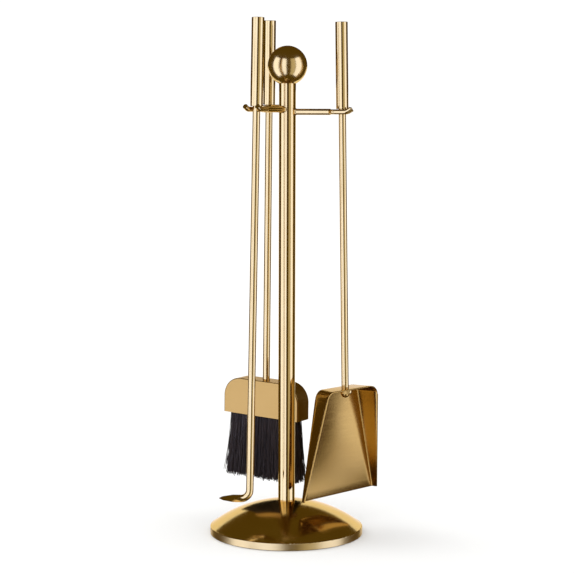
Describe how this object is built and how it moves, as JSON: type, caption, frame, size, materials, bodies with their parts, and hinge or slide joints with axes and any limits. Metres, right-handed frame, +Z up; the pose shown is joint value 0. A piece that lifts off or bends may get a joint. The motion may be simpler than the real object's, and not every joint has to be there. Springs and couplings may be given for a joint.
{
  "type": "fireplace tool set",
  "caption": "Brass fireplace tool set: domed weighted base and ball-topped post with wire forks that hold a poker, a brush and a shovel by their tube handles.",
  "frame": {"origin": "on the floor at the centre of the round base, under the post's axis", "axes": "+Z up along the post; +X toward the shovel's side, +Y toward the brush's side, so the set is seen from -Y in its usual view"},
  "size_m": [0.2231, 0.2243, 0.6748],
  "materials": {
    "dome_brass": "spun and lathe-brushed, satin, clear lacquer",
    "tube_brass": "drawn tube, lengthwise satin polish",
    "handle_brass": "drawn tube, lengthwise satin polish",
    "rod_brass": "drawn rod, lengthwise satin polish",
    "wire_brass": "drawn wire, bent and satin polished",
    "sheet_brass": "folded sheet, brushed satin",
    "fitting_brass": "turned, satin",
    "steel": "zinc plated, dull",
    "cast_iron": "raw sand casting",
    "felt": "pressed felt",
    "core_wood": "unfinished beech",
    "bristle": "black bristle, matt"
  },
  "bodies": {
    "stand": {"base_shell": "dome_brass", "base_weight": "cast_iron", "base_plate": "steel", "felt_pad": "felt", "base_bolt": "steel", "base_washer": "steel", "post_tube": "tube_brass", "post_foot_plug": "steel", "post_head_plug": "steel", "finial_stud": "steel", "ball_finial": "dome_brass", "poker_arm": "wire_brass", "brush_arm": "wire_brass", "shovel_arm": "wire_brass", "poker_fork": "wire_brass", "brush_fork": "wire_brass", "shovel_fork": "wire_brass"},
    "poker": {"poker_handle": "handle_brass", "poker_handle_cap": "handle_brass", "poker_handle_bush": "handle_brass", "poker_rod": "rod_brass"},
    "brush": {"brush_handle": "handle_brass", "brush_handle_cap": "handle_brass", "brush_handle_bush": "handle_brass", "brush_rod": "rod_brass", "brush_cover": "sheet_brass", "brush_core": "core_wood", "brush_insert": "fitting_brass", "brush_bristles": "bristle"},
    "shovel": {"shovel_handle": "handle_brass", "shovel_handle_cap": "handle_brass", "shovel_handle_bush": "handle_brass", "shovel_rod": "rod_brass", "shovel_pan": "sheet_brass", "shovel_nut": "fitting_brass", "shovel_washer": "fitting_brass", "shovel_rivets": "fitting_brass"}
  },
  "joints": [
    {"name": "poker_lift_off", "type": "slide", "parent": "stand", "child": "poker", "axis": [-0.3851, -0.593, 0.7071], "range_m": [0, 0.25]},
    {"name": "brush_lift_off", "type": "slide", "parent": "stand", "child": "brush", "axis": [-0.2418, 0.6645, 0.7071], "range_m": [0, 0.25]},
    {"name": "shovel_lift_off", "type": "slide", "parent": "stand", "child": "shovel", "axis": [0.7002, -0.0984, 0.7071], "range_m": [0, 0.25]}
  ]
}
